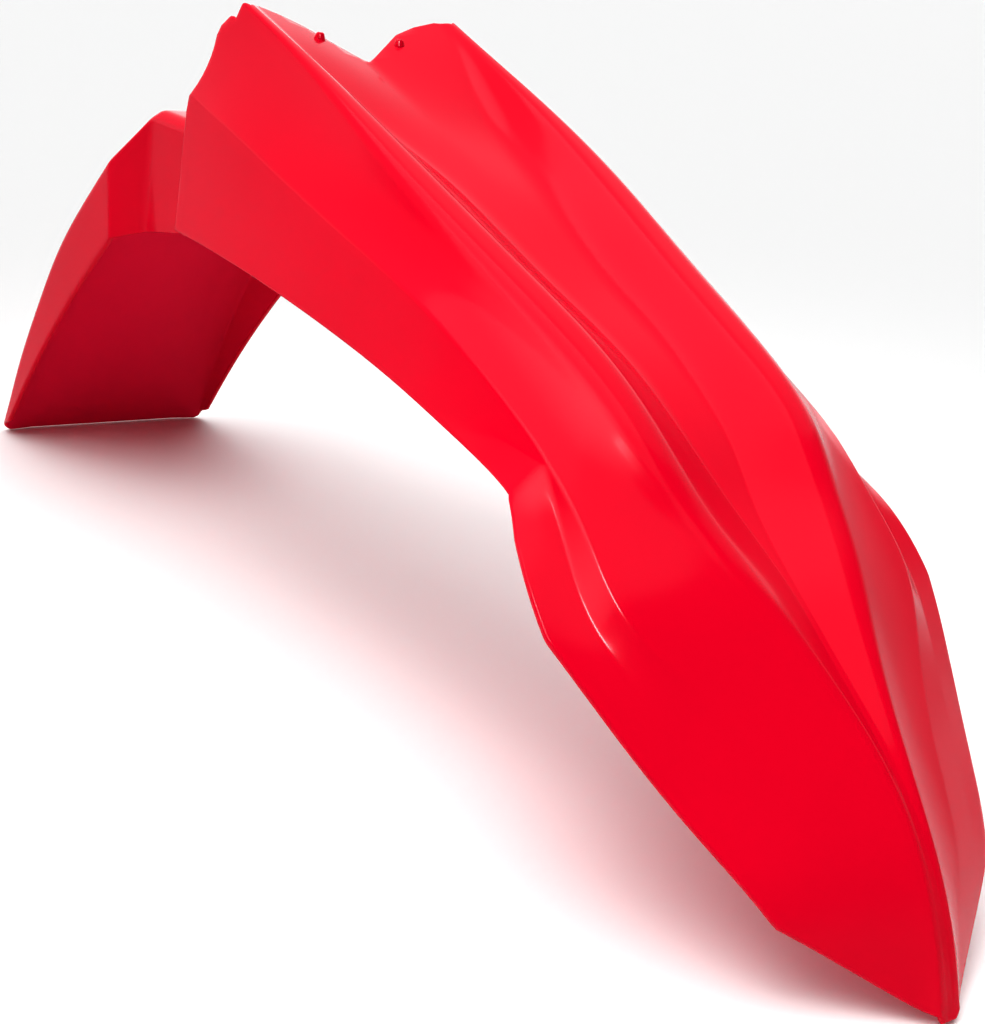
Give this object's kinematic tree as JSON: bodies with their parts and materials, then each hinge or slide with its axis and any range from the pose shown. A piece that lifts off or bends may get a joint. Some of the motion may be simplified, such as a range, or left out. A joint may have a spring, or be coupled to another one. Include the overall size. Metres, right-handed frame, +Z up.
{
  "type": "motorcycle front mudguard",
  "caption": "Moulded plastic front mudguard for an off-road motorcycle: a pointed creased blade with a V channel, a saddle that bolts under the fork clamp, and a flap behind the wheel.",
  "frame": {"origin": "middle of the clamp bolt pattern, on the top face of the saddle that meets the underside of the fork clamp", "axes": "+X forward to the tip of the blade, +Y to the left side of the motorcycle, +Z up along the clamp bolts"},
  "size_m": [0.757, 0.226, 0.3129],
  "materials": {
    "red_polypropylene": "gloss, injection-moulded polypropylene in solid red"
  },
  "bodies": {
    "root": {"front_mudguard": "red_polypropylene"}
  },
  "joints": []
}
